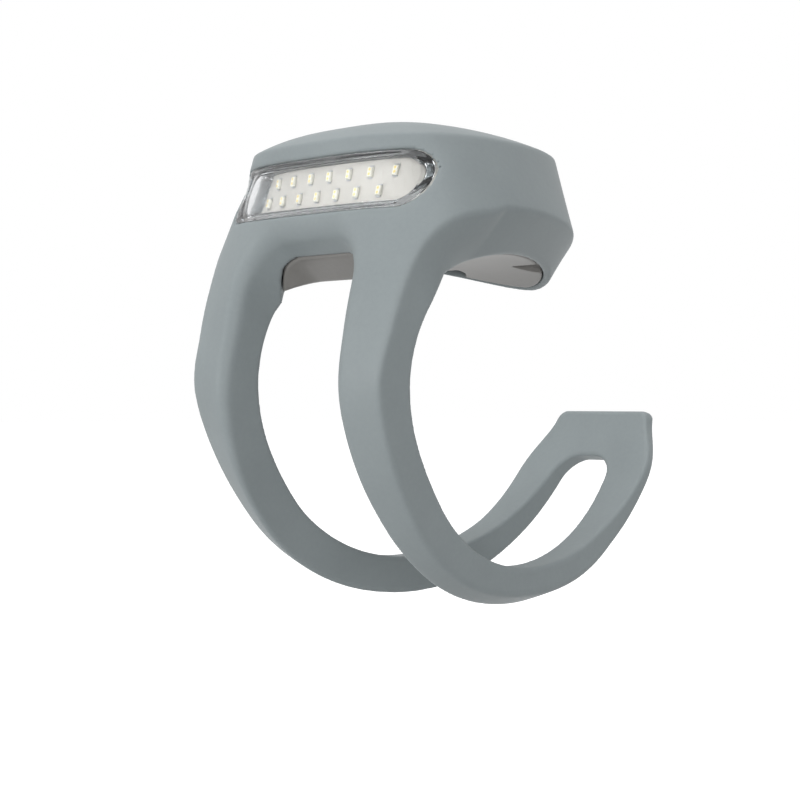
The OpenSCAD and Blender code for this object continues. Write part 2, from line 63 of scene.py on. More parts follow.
# The strap: half-widths of legs and gap, thicknesses, crown, bow of the legs and lift of the tab
LEG_TOP, LEG_TIP, GAP_TOP, GAP_MID, GAP_TIP = 13.7, 8.2, 7.1, 8.1, 2.7
T_TOP, T_MID, T_LOW, T_TIP, CROWN, BOW, TAB_LIFT = 4.9, 3.35, 2.5, 0.85, 2.0, 1.4, 5.3
# Angles round the bar in degrees, from the tail's side over the top: a place, or a start and the run after it
FLEX_A, TAB_RISE, GAP_END, TAB_CORNER, TAB_END = 160.0, 260.0, 341.0, 330.0, 354.5
LEG_TAPER, GAP_WIDEN, GAP_NARROW, BOW_SPAN = (140, 172), (160, 60), (225, 125), (123, 95)
THIN_TOP, THIN_LOW, THIN_TIP = (130, 70), (215, 60), (290, 62)
CROWN_UP, CROWN_DOWN, SOFT_SPAN = (165, 45), (265, 45), (155, 65)
# Radii of the silicone's edges
RIM_EDGE, SIDE_EDGE, TAB_EDGE, SEAT_EDGE, WINDOW_EDGE = 0.14, 0.35, 0.9, 0.3, 0.15
GAP_ROUND, GAP_END_ROUND, GAP_EDGE_TOP, GAP_EDGE_LOW = 4.0, 2.4, 1.6, 0.4
GAP_SLOPE, CEILING_Y, CEILING_Z = math.radians(37.0), -0.86 * SEAT_R, 9.8
SKIN, DOME_SKIN = 1.8, 1.2
# The lens and its flange, as insets from the nose's surface
WINDOW_L, WINDOW_R, WINDOW_Z, WINDOW_BACK = 12.75, 2.48, 17.48, WIDEST + 3.5
LENS_LIP, LENS_RECESS, LENS_T, BORDER_END, BORDER_SIDE = 0.1, 0.5, 0.9, 1.2, 0.35
FLANGE_IN, FLANGE_OUT = 1.9, 2.4
FLANGE_R, FLANGE_L, FLANGE_BACK = WINDOW_R + 0.47, WINDOW_L + 0.4, WIDEST + 2.1
# The pod base, its posts, finger scoops and the socket's opening
LOBE_W, LOBE_Y, JOINT_Z, LEDGE_Z, LEDGE_SLIM = 7.0, 15.9, 14.9, 14.4, 0.5
POD_WALL, FLOOR_T, FIT = 1.0, 1.3, 0.1
POST_X, POST_Y, POST_R, SCREW_R, BOARD_Z = 9.6, -7.0, 1.3, 0.65, 17.3
SCOOP_X, SCOOP_Y, SCOOP_R = 6.4, 4.1, 2.8
USB_Y, USB_Z, USB_W, USB_H = 3.9, 15.7, 9.24, 3.5
LEDS_PER_ROW, LED_PITCH, ROW_GAP = 7, 2.45, 1.7
FLOOR_Z = -0.045
HALVINGS = 26


# Shape formulas of the solid model. Some values are set closer to the photograph than its solids are
def ramp(t):
    s = np.clip(t, 0, 1)
    return s * s * (3 - 2 * s)


def mix(a, b, t):
    return a + (b - a) * t


def along(a, span):
    """How far the angle a is along a start and run, as a share of the run."""
    return (a - span[0]) / span[1]


def half_w(z):
    return HEAD_W / 2 + SIDE_DRAFT * (RIM_Z - z)


def nose_y(z):
    return NOSE + NOSE_FLARE * np.sin(np.radians(90 * np.clip((RIM_Z - z) / RIM_Z, 0, 1))) ** 1.6


def tail_y(z):
    return TAIL + TAIL_DRAFT * (RIM_Z - z)


def share(x, y, w, front, rear):
    """Size of the plan outline through (x, y), as a share of the outline with these reaches."""
    v = y + WIDEST
    out_f = ((np.abs(x) / w) ** FRONT_N + (np.abs(v) / (front - WIDEST)) ** FRONT_N) ** (1 / FRONT_N)
    out_r = ((np.abs(x) / w) ** REAR_N + (np.abs(v) / (rear + WIDEST)) ** REAR_N) ** (1 / REAR_N)
    return np.where(v < 0, out_f, out_r)


def saddle_at(y):
    return SADDLE_C + np.sqrt(np.maximum(SADDLE_R ** 2 - (y + SADDLE_Y) ** 2, 1e-6))


def leg_out(a):
    return mix(LEG_TOP, LEG_TIP, np.minimum(1, along(a, LEG_TAPER)))


def gap_half(a):
    narrowing = np.maximum(0, along(a, GAP_NARROW)) ** 1.25
    return mix(GAP_TOP, GAP_MID, ramp(along(a, GAP_WIDEN))) - (GAP_MID - GAP_TIP) * narrowing


def strap_in(a):
    """Inner radius of the strap. Behind the head it opens, so that the saddle alone cuts the underside."""
    bow = BOW * np.sin(np.pi * np.clip(along(a, BOW_SPAN), 0, 1)) ** 2
    behind = np.maximum(0, 100 - a) * 0.4
    return SEAT_R + bow + behind + TAB_LIFT * (np.maximum(0, a - TAB_RISE) / (TAB_END - TAB_RISE)) ** 2


def side_t(a):
    t = mix(T_TOP, T_MID, ramp(along(a, THIN_TOP)))
    t = mix(t, T_LOW, ramp(along(a, THIN_LOW)))
    return mix(t, T_TIP, ramp(along(a, THIN_TIP)))


def crown_t(a):
    return CROWN * mix(0.3, 1, ramp(along(a, CROWN_UP))) * mix(1, 0.5, ramp(along(a, CROWN_DOWN)))


def nose_at(x, z, inset):
    """y of the nose surface moved inwards by inset, at x and z."""
    w = half_w(z) - inset
    reach = nose_y(z) - inset - WIDEST
    return -WIDEST - reach * (1 - np.minimum(1, np.abs(x) / w) ** FRONT_N) ** (1 / FRONT_N)


# Implicit surfaces: negative inside, in millimetres
def round_max(a, b, r):
    """The part inside both a and b, its edge rounded with radius r."""
    return np.hypot(np.maximum(a + r, 0), np.maximum(b + r, 0)) + np.minimum(np.maximum(a, b) + r, 0) - r


def round_min(a, b, r):
    return -round_max(-a, -b, r)


def scaled(f, *steps):
    """The field f divided by the length of its own gradient, so that it measures distance."""
    g = np.gradient(f, *steps)
    g = g if isinstance(g, (list, tuple)) else [g]
    return f / np.maximum(np.sqrt(sum(c * c for c in g)), 1e-3)


def flank_height(x, y):
    """Height of the rear flank over the plan, by halving the station share s."""
    v = np.maximum(y + WIDEST, 0)
    w1, r0, r1 = half_w(FLANK_Z), UNDER_TAIL + WIDEST, tail_y(CREASE_TAIL) + WIDEST
    lo, hi = np.full(np.broadcast(x, y).shape, -1.8), np.full(np.broadcast(x, y).shape, 3.0)
    for _ in range(HALVINGS):
        s = (lo + hi) / 2
        out = (np.abs(x) / mix(UNDER_W, w1, s)) ** REAR_N + (v / mix(r0, r1, s)) ** REAR_N > 1
        lo, hi = np.where(out, s, lo), np.where(out, hi, s)
    s = (lo + hi) / 2
    y_in, y_out = v * r0 / mix(r0, r1, s) - WIDEST, v * r1 / mix(r0, r1, s) - WIDEST
    crease = mix(FLANK_Z, CREASE_TAIL, (np.maximum(0, y_out + WIDEST) / (WIDEST + TAIL)) ** 2)
    return mix(saddle_at(y_in), crease, s)


def side_reach(y, z, a):
    """Half-width of the front flank and of the legs over the plane of symmetry."""
    a0_in = math.degrees(math.atan2(float(saddle_at(-WIDEST)), -WIDEST))
    a0_out = math.degrees(math.atan2(FLANK_Z, -WIDEST))

    def station(t):
        ai, ao = mix(a0_in, FLEX_A, t), mix(a0_out, FLEX_A, t)
        d = -SADDLE_Y * np.cos(np.radians(ai)) + SADDLE_C * np.sin(np.radians(ai))
        saddle = d + np.sqrt(d * d + SADDLE_R ** 2 - SADDLE_Y ** 2 - SADDLE_C ** 2)
        ri = np.minimum(strap_in(ai), saddle)
        ro = mix(math.hypot(FLANK_Z, WIDEST), strap_in(FLEX_A) + side_t(FLEX_A) + 0.3, ramp(1.25 * t))
        xi = mix(UNDER_W, leg_out(ai), ramp(1.1 * t))
        xo = mix(half_w(FLANK_Z), leg_out(ao), ramp(1.15 * t))
        ai, ao = np.radians(ai), np.radians(ao)
        return xi, ri * np.cos(ai), ri * np.sin(ai), xo, ro * np.cos(ao), ro * np.sin(ao)

    lo, hi = np.zeros_like(a), np.ones_like(a)
    for _ in range(HALVINGS):
        t = (lo + hi) / 2
        xi, yi, zi, xo, yo, zo = station(t)
        past = (yo - yi) * (z - zi) - (zo - zi) * (y - yi) > 0
        lo, hi = np.where(past, t, lo), np.where(past, hi, t)
    xi, yi, zi, xo, yo, zo = station((lo + hi) / 2)
    s = ((y - yi) * (yo - yi) + (z - zi) * (zo - zi)) / ((yo - yi) ** 2 + (zo - zi) ** 2)
    return np.where(a >= FLEX_A, leg_out(a), mix(xi, xo, np.clip(s, -1, 3)))


def base_plan(x, y, inset=0.0):
    """Plan of the pod base, as distance."""
    body = share(x, y, UNDER_W - 0.7 - inset, WIDEST + 5.2 - inset, UNDER_TAIL - 0.7 - inset) - 1
    body = np.clip(scaled(body, x[1, 0] - x[0, 0], y[0, 1] - y[0, 0]), -6, 12)
    half, front, back, r = LOBE_W - inset, -LOBE_Y + inset, -8.0, 2.0
    qx = np.abs(x) - (half - r)
    qy = np.abs(y - (front + back) / 2) - ((back - front) / 2 - r)
    lobe = np.hypot(np.maximum(qx, 0), np.maximum(qy, 0)) + np.minimum(np.maximum(qx, qy), 0) - r
    return round_min(body, lobe, 2.0)


def ceiling_over(y, z):
    """Height over the sloped ceiling of the gap between the legs."""
    return (y - CEILING_Y) * math.sin(GAP_SLOPE) + (z - CEILING_Z) * math.cos(GAP_SLOPE)


def stadium(x, z, half_length, radius):
    """Distance to the round-ended bar round the window's middle line."""
    return np.hypot(np.maximum(x - (half_length - radius), 0), z - WINDOW_Z) - radius


def silicone_field(xs, ys, zs):
    """Jacket and strap as one body on the grid."""
    h = xs[1] - xs[0]
    x, y, z = xs[:, None, None], ys[None, :, None], zs[None, None, :]
    yz_y, yz_z = np.meshgrid(ys, zs, indexing="ij")
    xy_x, xy_y = np.meshgrid(xs, ys, indexing="ij")
    r = np.hypot(yz_y, yz_z)
    a = np.degrees(np.arctan2(yz_z, yz_y)) % 360
    a = np.where(a < 60, a + 360, a)

    zc = np.maximum(z, 0)
    wall = np.clip(scaled(share(x, y, half_w(zc), nose_y(zc), tail_y(zc)) - 1, h, h, h), -6, 8)

    def dome(inset, height):
        s = share(xy_x, xy_y, half_w(RIM_Z) - inset, NOSE - inset, TAIL - inset)
        top = RIM_Z + height * (1 - np.minimum(s, 1.6) ** DOME_N)
        gx, gy = np.gradient(top, h, h)
        return (z - top[:, :, None]) / np.sqrt(1 + gx * gx + gy * gy)[:, :, None]

    head = round_max(wall, dome(0, DOME_H), RIM_EDGE)
    out = (strap_in(a) + side_t(a))[None] + crown_t(a)[None] * (1 - (x / leg_out(a)[None]) ** 2)
    band = r[None] - out
    k = np.where(yz_y < 0, ramp((yz_z + 2) / 7), (yz_z > 4) * 1.0)[None]
    outer = mix(band, head, k)
    del band, head, out

    top = flank_height(xy_x, xy_y)
    gx, gy = np.gradient(top, h, h)
    rear = (top[:, :, None] - z) / np.sqrt(1 + gx * gx + gy * gy)[:, :, None]
    corner = ramp((a - TAB_CORNER) / (TAB_END - TAB_CORNER))
    reach = side_reach(yz_y, yz_z, a) * np.where(a > 300, 1 - 0.3 * corner ** 2, 1)
    gy, gz = np.gradient(reach, h, h)
    norm = np.sqrt(1 + np.minimum(gy * gy + gz * gz, 4))
    front = (x - reach[None]) / norm[None]
    strap_zone = ((yz_y < -WIDEST) | (yz_z < 4))[None]
    side = np.where(strap_zone, front, rear)
    solid = round_max(outer, side, SIDE_EDGE)
    end_a = math.radians(TAB_END)
    end = np.where((yz_y > 0) & (yz_z < 4), -yz_y * math.sin(end_a) + yz_z * math.cos(end_a), -9)
    solid = round_max(solid, end[None], TAB_EDGE)
    del outer, side, rear, front

    ceiling = ceiling_over(yz_y, yz_z)
    ceiling = np.where((yz_y < 0) & (a < 240), ceiling, -15)
    stop_a = math.radians(GAP_END)
    stop = np.where(yz_y > 0, -yz_y * math.sin(stop_a) + yz_z * math.cos(stop_a), -15)
    gap = round_max(x - gap_half(a)[None], ceiling[None], GAP_ROUND)
    gap = round_max(gap, stop[None], GAP_END_ROUND)
    soft = mix(GAP_EDGE_TOP, GAP_EDGE_LOW, ramp(along(a, SOFT_SPAN)))[None]
    solid = round_max(solid, -gap, soft)
    del gap

    bar = np.maximum(r - strap_in(a), np.hypot(yz_y + SADDLE_Y, yz_z - SADDLE_C) - SADDLE_R)
    solid = round_max(solid, -bar[None], SEAT_EDGE)

    window = np.maximum(stadium(x, z, WINDOW_L, WINDOW_R), y + WINDOW_BACK)
    solid = round_max(solid, -window, WINDOW_EDGE)

    plan = base_plan(xy_x, xy_y)[:, :, None]
    solid = round_max(solid, -np.maximum(np.maximum(plan, z - LEDGE_Z - 0.8), 6 - z), 0.12)
    space = np.maximum(np.maximum(wall + SKIN, LEDGE_Z + 0.1 - z), dome(SKIN, DOME_H - DOME_SKIN))
    return np.maximum(solid, -space)


def pod_field(xs, ys, zs):
    """The pod base: floor over the saddle with lobe and scoops, walls, flange on the ledge, screw posts."""
    h = xs[1] - xs[0]
    x, y, z = xs[:, None, None], ys[None, :, None], zs[None, None, :]
    xy_x, xy_y = np.meshgrid(xs, ys, indexing="ij")
    yz_y, yz_z = np.meshgrid(ys, zs, indexing="ij")
    saddle = (SADDLE_R - np.hypot(yz_y + SADDLE_Y, yz_z - SADDLE_C))[None]
    ceiling = ceiling_over(yz_y, yz_z)
    arch = -round_max(np.abs(x) - GAP_TOP, ceiling[None], GAP_ROUND)
    front = (yz_y < -6)[None]
    under = np.where(front, round_max(saddle, arch, 0.25), saddle)
    walls = np.maximum(base_plan(xy_x, xy_y, FIT)[:, :, None], z - JOINT_Z)
    rim = share(x, y, half_w(z) - FLANGE_IN - LEDGE_SLIM, nose_y(z) - FLANGE_IN, tail_y(z) - FLANGE_IN) - 1
    rim = np.clip(scaled(rim, h, h, h), -6, 8)
    flange = np.maximum(rim, np.maximum(LEDGE_Z + FIT - z, z - JOINT_Z))
    post = np.hypot(xy_x - POST_X, xy_y - POST_Y)[:, :, None]
    posts = np.maximum(post - POST_R, np.maximum(LEDGE_Z + FIT - z, z - BOARD_Z))
    solid = round_max(np.minimum(walls, flange), under, 0.16)
    scoop = np.maximum(np.hypot(xy_x - SCOOP_X, xy_y - SCOOP_Y) - SCOOP_R, SCOOP_Y - xy_y)[:, :, None]
    scoop = np.maximum(scoop, -0.5 - saddle)
    solid = round_max(solid, -scoop, 0.08)
    floor = FLOOR_T + np.where(front, np.maximum(saddle, arch), saddle)
    pocket = np.maximum(base_plan(xy_x, xy_y, FIT + POD_WALL)[:, :, None], floor)
    solid = np.minimum(np.maximum(solid, -pocket), posts)
    solid = np.maximum(solid, -np.maximum(post - SCREW_R, JOINT_Z - 0.4 - z))
    opening = np.maximum(stadium(x, z, FLANGE_L + 0.3, FLANGE_R + FIT), y + FLANGE_BACK - FIT)
    plug = np.hypot(np.maximum(x - (USB_W - USB_H) / 2, 0), z - USB_Z) - USB_H / 2
    return np.maximum(solid, -np.minimum(opening, np.maximum(plug, USB_Y - y)))


def lens_field(xs, ys, zs):
    """The clear lens: a sunk face in a sloped border, a hollow behind it, and the flange held by the pod."""
    h = xs[1] - xs[0]
    x, y, z = xs[:, None, None], ys[None, :, None], zs[None, None, :]
    wall = scaled(share(x, y, half_w(z), nose_y(z), tail_y(z)) - 1, h, h, h)
    face_l, face_r = WINDOW_L - BORDER_END, WINDOW_R - BORDER_SIDE
    # Share of the way from the face's outline to the window's, where both ends are arcs
    c0, c1 = face_l - face_r, BORDER_END - BORDER_SIDE
    straight = (np.abs(z - WINDOW_Z) - face_r) / BORDER_SIDE
    qa = c1 * c1 - BORDER_SIDE * BORDER_SIDE
    qb = (x - c0) * c1 + face_r * BORDER_SIDE
    qc = (x - c0) ** 2 + (z - WINDOW_Z) ** 2 - face_r ** 2
    curved = (qb - np.sqrt(np.maximum(qb * qb - qa * qc, 0))) / qa
    u = np.where(x > c0 + c1 * np.clip(straight, 0, 1), curved, straight)
    depth = np.interp(u, [0, 0.08, 1], [LENS_RECESS, LENS_RECESS - 0.1, LENS_LIP])
    body = round_max(wall + depth, stadium(x, z, WINDOW_L - FIT / 2, WINDOW_R - FIT / 2), 0.06)
    body = np.maximum(body, np.maximum(-wall - FLANGE_OUT, y + WINDOW_BACK + FIT))
    flange = np.maximum(np.abs(wall + (FLANGE_IN + FLANGE_OUT) / 2) - (FLANGE_OUT - FLANGE_IN) / 2,
                        np.maximum(stadium(x, z, FLANGE_L, FLANGE_R), y + FLANGE_BACK))
    hollow = np.maximum(stadium(x, z, face_l - 0.3, face_r - 0.12), y + WINDOW_BACK - 0.6)
    hollow = round_max(hollow, wall + LENS_RECESS + LENS_T, 0.12)
    return np.maximum(np.minimum(body, flange), -hollow)


# Surface nets
def grid(x_to, y0, y1, z0, z1, h):
    xs = (np.arange(int(x_to / h) + 1) + 0.5) * h
    ys = np.arange(y0, y1, h)
    zs = np.arange(z0, z1, h)
    return xs, ys, zs


def sample(f, p, origin, h):
    """Trilinear value of the grid f at the points p."""
    q = (p - origin) / h
    i = np.clip(np.floor(q).astype(int), 0, np.array(f.shape[:3]) - 2)
    t = q - i
    out = 0
    for dx in (0, 1):
        for dy in (0, 1):
            for dz in (0, 1):
                w = np.abs(1 - dx - t[:, 0]) * np.abs(1 - dy - t[:, 1]) * np.abs(1 - dz - t[:, 2])
                v = f[i[:, 0] + dx, i[:, 1] + dy, i[:, 2] + dz]
                out = out + (w[:, None] * v if v.ndim == 2 else w * v)
    return out


def net(field, xs, ys, zs, name):
    """Mesh of the field's zero level, mirrored over x = 0, with normals from the field."""
    h = xs[1] - xs[0]
    f = np.concatenate([field[::-1], field]).astype(np.float32)
    origin = np.array([-xs[-1], ys[0], zs[0]])
    inside = f < 0
    n = tuple(s - 1 for s in f.shape)
    corners = [(dx, dy, dz) for dx in (0, 1) for dy in (0, 1) for dz in (0, 1)]
    count = sum(inside[dx:dx + n[0], dy:dy + n[1], dz:dz + n[2]].astype(np.int8) for dx, dy, dz in corners)
    cells = np.argwhere((count > 0) & (count < 8))
    index = np.full(n, -1, np.int32)
    index[tuple(cells.T)] = np.arange(len(cells))
    value = {c: f[cells[:, 0] + c[0], cells[:, 1] + c[1], cells[:, 2] + c[2]] for c in corners}
    total, hits = np.zeros((len(cells), 3)), np.zeros(len(cells))
    for c in corners:
        for axis in range(3):
            if c[axis]:
                continue
            d = tuple(1 if k == axis else c[k] for k in range(3))
            cross = (value[c] < 0) != (value[d] < 0)
            t = np.where(cross, value[c] / np.where(cross, value[c] - value[d], 1), 0)
            p = np.array(c, float)[None] + t[:, None] * np.eye(3)[axis][None]
            total += p * cross[:, None]
            hits += cross
    points = origin + (cells + total / hits[:, None]) * h
    faces = []
    for axis in range(3):
        u, v = [k for k in range(3) if k != axis]
        lo = [slice(1, -1)] * 3
        lo[axis] = slice(0, -1)
        hi = list(lo)
        hi[axis] = slice(1, None)
        a, b = inside[tuple(lo)], inside[tuple(hi)]
        for flip, mask in ((axis != 1, a & ~b), (axis == 1, ~a & b)):
            e = np.argwhere(mask)
            e[:, u] += 1
            e[:, v] += 1
            quad = []
            for du, dv in ((-1, -1), (0, -1), (0, 0), (-1, 0)):
                c = e.copy()
                c[:, u] += du
                c[:, v] += dv
                quad.append(index[tuple(c.T)])
            quad = np.stack(quad, 1)
            faces.append(quad if flip else quad[:, ::-1])
    faces = np.concatenate(faces)
    slope = np.stack(np.gradient(f, h), -1)
    for _ in range(3):
        g = sample(slope, points, origin, h)
        step = sample(f, points, origin, h) / np.maximum((g * g).sum(1), 0.2)
        points -= np.clip(step, -0.3 * h, 0.3 * h)[:, None] * g
    g = sample(slope, points, origin, h)
    normals = g / np.maximum(np.linalg.norm(g, axis=1), 1e-6)[:, None]
    mesh = bpy.data.meshes.new(name)
    mesh.from_pydata((points * MM).tolist(), [], faces.tolist())
    mesh.update()
    mesh.polygons.foreach_set("use_smooth", np.ones(len(mesh.polygons), bool))
    mesh.normals_split_custom_set_from_vertices(normals.tolist())
    piece = bpy.data.objects.new(name, mesh)
    bpy.context.scene.collection.objects.link(piece)
    return piece


# Materials
def srgb(r, g, b):
    def lin(c):
        c /= 255
        return c / 12.92 if c <= 0.04045 else ((c + 0.055) / 1.055) ** 2.4
    return (lin(r), lin(g), lin(b), 1.0)


def finish_of(name, light, dark, roughness, rough_span=0.06, grain=900.0, patch=90.0, bump=0.02, metallic=0.0,
              **sockets):
    """A moulded, stamped or printed finish: patches of two near tones, fine grain and uneven roughness."""
    m = bpy.data.materials.new(name)
    m.use_nodes = True
    nodes, links = m.node_tree.nodes, m.node_tree.links
    nodes.clear()
    out = nodes.new("ShaderNodeOutputMaterial")
    shader = nodes.new("ShaderNodeBsdfPrincipled")
    where = nodes.new("ShaderNodeTexCoord")
    broad = nodes.new("ShaderNodeTexNoise")
    broad.inputs["Scale"].default_value = patch
    broad.inputs["Detail"].default_value = 4
    fine = nodes.new("ShaderNodeTexNoise")
    fine.inputs["Scale"].default_value = grain
    fine.inputs["Detail"].default_value = 3
    both = nodes.new("ShaderNodeMath")
    both.operation = "MULTIPLY_ADD"
    both.inputs[1].default_value = 0.4
    tone = nodes.new("ShaderNodeValToRGB")
    tone.color_ramp.elements[0].position = 0.38
    tone.color_ramp.elements[0].color = dark
    tone.color_ramp.elements[1].position = 1.0
    tone.color_ramp.elements[1].color = light
    rough = nodes.new("ShaderNodeMapRange")
    rough.inputs["To Min"].default_value = roughness - rough_span
    rough.inputs["To Max"].default_value = roughness + rough_span
    relief = nodes.new("ShaderNodeBump")
    relief.inputs["Strength"].default_value = bump
    relief.inputs["Distance"].default_value = 0.00005
    for t in (broad, fine):
        links.new(where.outputs["Object"], t.inputs["Vector"])
    links.new(fine.outputs["Fac"], both.inputs[0])
    links.new(broad.outputs["Fac"], both.inputs[2])
    links.new(both.outputs[0], tone.inputs["Fac"])
    links.new(tone.outputs["Color"], shader.inputs["Base Color"])
    links.new(broad.outputs["Fac"], rough.inputs["Value"])
    links.new(rough.outputs["Result"], shader.inputs["Roughness"])
    links.new(fine.outputs["Fac"], relief.inputs["Height"])
    links.new(relief.outputs["Normal"], shader.inputs["Normal"])
    shader.inputs["Metallic"].default_value = metallic
    for key, number in sockets.items():
        shader.inputs[key.replace("_", " ")].default_value = number
    links.new(shader.outputs["BSDF"], out.inputs["Surface"])
    return m


def clear_lens():
    """Clear moulded polycarbonate. Lamps reach the board through it."""
    m = finish_of("lens_clear", srgb(250, 251, 252), srgb(240, 242, 244), 0.06, 0.02, 300, 60, 0.01, IOR=1.5)
    nodes, links = m.node_tree.nodes, m.node_tree.links
    shader = next(n for n in nodes if n.type == "BSDF_PRINCIPLED")
    shader.inputs["Transmission Weight"].default_value = 1.0
    out = next(n for n in nodes if n.type == "OUTPUT_MATERIAL")
    path = nodes.new("ShaderNodeLightPath")
    open_way = nodes.new("ShaderNodeBsdfTransparent")
    open_way.inputs["Color"].default_value = (0.93, 0.94, 0.95, 1)
    choose = nodes.new("ShaderNodeMixShader")
    links.new(path.outputs["Is Shadow Ray"], choose.inputs["Fac"])
    links.new(shader.outputs["BSDF"], choose.inputs[1])
    links.new(open_way.outputs["BSDF"], choose.inputs[2])
    links.new(choose.outputs["Shader"], out.inputs["Surface"])
    return m


MATERIALS = {
    "silicone": finish_of("silicone_skin", srgb(147, 155, 157), srgb(138, 146, 148), 0.50, 0.05, 2600, 160,
                          0.08, Specular_IOR_Level=0.25),
    "gasket": finish_of("gasket_grey", srgb(146, 147, 146), srgb(132, 133, 132), 0.55, 0.08),
    "carrier": finish_of("carrier_white", srgb(222, 221, 216), srgb(204, 203, 198), 0.5),
    "emitter_board": finish_of("emitter_board_white", srgb(196, 192, 184), srgb(182, 178, 170), 0.42, 0.05,
                               1500, 300, 0.05),
    "emitter": finish_of("emitter_body", srgb(236, 234, 222), srgb(216, 212, 196), 0.35),
    "flex_circuit": finish_of("flex_amber", srgb(190, 128, 48), srgb(160, 102, 34), 0.35),
    "pod_grey": finish_of("pod_warm_grey", srgb(127, 125, 122), srgb(115, 113, 110), 0.44, 0.05, 1800, 140,
                          0.08),
    "pod_dark": finish_of("pod_dark", srgb(62, 62, 65), srgb(46, 46, 49), 0.5),
    "button": finish_of("button_dark", srgb(74, 74, 78), srgb(58, 58, 62), 0.45),
    "steel": finish_of("stamped_steel", srgb(196, 197, 199), srgb(170, 171, 173), 0.32, 0.08, metallic=1.0),
    "board": finish_of("board_green", srgb(34, 92, 58), srgb(22, 72, 44), 0.4),
    "chip": finish_of("chip_black", srgb(40, 40, 42), srgb(28, 28, 30), 0.45),
    "foil": finish_of("pouch_foil", srgb(202, 204, 207), srgb(180, 182, 186), 0.3, 0.1, 400, 120, 0.3,
                      metallic=0.9),
    "foam": finish_of("foam_black", srgb(52, 52, 55), srgb(34, 34, 37), 0.9, 0.05, 1600, 500, 0.6),
    "wire": finish_of("wire_red", srgb(170, 34, 30), srgb(140, 24, 22), 0.4),
    "phosphor": finish_of("phosphor_yellow", srgb(240, 220, 140), srgb(216, 190, 104), 0.45),
    "indicator": finish_of("indicator_body", srgb(236, 190, 120), srgb(214, 164, 92), 0.3),
    "lens": clear_lens(),
}
slot_of = {n["node"]: n["material_slot"] for n in frame["record"]["subparts"]}


def dress(piece, slot, look=None):
    piece.data.materials.clear()
    piece.data.materials.append(MATERIALS[look or slot])


def solid_mesh(name, lofts):
    """One mesh of closed lofts. Each loft is a list of rings, equal in number of points, in millimetres."""
    points, faces = [], []
    for rings in lofts:
        n, first = len(rings[0]), len(points)
        for ring in rings:
            points += [[c * MM for c in p] for p in ring]
        for k in range(len(rings) - 1):
            low, high = first + k * n, first + (k + 1) * n
            faces += [(low + i, low + (i + 1) % n, high + (i + 1) % n, high + i) for i in range(n)]
        faces.append(tuple(first + i for i in reversed(range(n))))
        faces.append(tuple(first + (len(rings) - 1) * n + i for i in range(n)))
    mesh = bpy.data.meshes.new(name)
    mesh.from_pydata(points, [], faces)
    mesh.update()
    piece = bpy.data.objects.new(name, mesh)
    bpy.context.scene.collection.objects.link(piece)
    return piece


def cut_corners(w, h, c):
    """Corners of a w by h rectangle, each cut off by c, anticlockwise."""
    w, h = w / 2, h / 2
    return [(w, h - c), (w - c, h), (c - w, h), (-w, h - c),
            (-w, c - h), (c - w, -h), (w - c, -h), (w, c - h)]


# The silicone skin
STEP = 0.22
axes = grid(16.6, -22.4, 24.2, -21.0, 25.2, STEP)
skin = net(silicone_field(*axes), *axes, "silicone_skin")
dress(skin, "silicone")
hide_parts("silicone_jacket", "strap_loop")
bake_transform(skin)

# The pod base with eased edges
axes = grid(13.4, -18.4, 12.0, 8.0, 18.0, 0.16)
pod = net(pod_field(*axes), *axes, "pod_base_shell")
dress(pod, "pod_grey")
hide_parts("pod_base")
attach(pod, "light")

# The lens
axes = grid(13.9, -19.6, -10.4, 13.9, 21.1, 0.1)
lens = net(lens_field(*axes), *axes, "lens_clear_cover")
dress(lens, "lens")
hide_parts("lens")
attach(lens, "light")


# Emitters: two solder pads, a milky package with a chamfered top, and two dots of phosphor on it
def emitter_places():
    for row in (-1, 1):
        for i in range(LEDS_PER_ROW):
            x = (i - (LEDS_PER_ROW - 1) / 2 + row / 4) * LED_PITCH
            z = WINDOW_Z + row * ROW_GAP / 2
            foot = np.array([x, float(nose_at(x, z, FLANGE_OUT)), z])
            side = np.array([0.01, float(nose_at(x + 0.01, z, FLANGE_OUT) - foot[1]), 0.0])
            rise = np.array([0.0, float(nose_at(x, z + 0.01, FLANGE_OUT) - foot[1]), 0.01])
            side, rise = side / np.linalg.norm(side), rise / np.linalg.norm(rise)
            yield foot, side, rise, np.cross(side, rise)


def on_board(outline, foot, side, rise, out, height, shift=0.0):
    return [foot + side * u + rise * (v + shift) + out * height for u, v in outline]


packages, pads, phosphors = [], [], []
for at in emitter_places():
    body, top = cut_corners(0.5, 0.9, 0.05), cut_corners(0.4, 0.76, 0.05)
    packages.append([on_board(body, *at, 0.0), on_board(body, *at, 0.17), on_board(top, *at, 0.26)])
    dot = [(0.13 * math.cos(k * math.pi / 6), 0.15 * math.sin(k * math.pi / 6)) for k in range(12)]
    dot_top = [(0.8 * u, 0.8 * v) for u, v in dot]
    for shift in (-0.2, 0.2):
        phosphors.append([on_board(dot, *at, 0.24, shift), on_board(dot_top, *at, 0.29, shift)])
    for shift in (-0.5, 0.5):
        tin = cut_corners(0.46, 0.2, 0.03)
        pads.append([on_board(tin, *at, 0.0, shift), on_board(tin, *at, 0.05, shift)])
emitters = solid_mesh("emitter_packages", packages)
dress(emitters, "emitter")
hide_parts("leds")
dots = solid_mesh("emitter_phosphors", phosphors)
dress(dots, "emitter", "phosphor")
solder = solid_mesh("emitter_pads", pads)
dress(solder, "steel")
for piece in (emitters, dots, solder):
    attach(piece, "light")

# The foam pad on the battery: crowned, with edges that pull in
low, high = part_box("battery_pad")
low, high = [c / MM for c in low], [c / MM for c in high]
mid = [(p + q) / 2 for p, q in zip(low, high)]


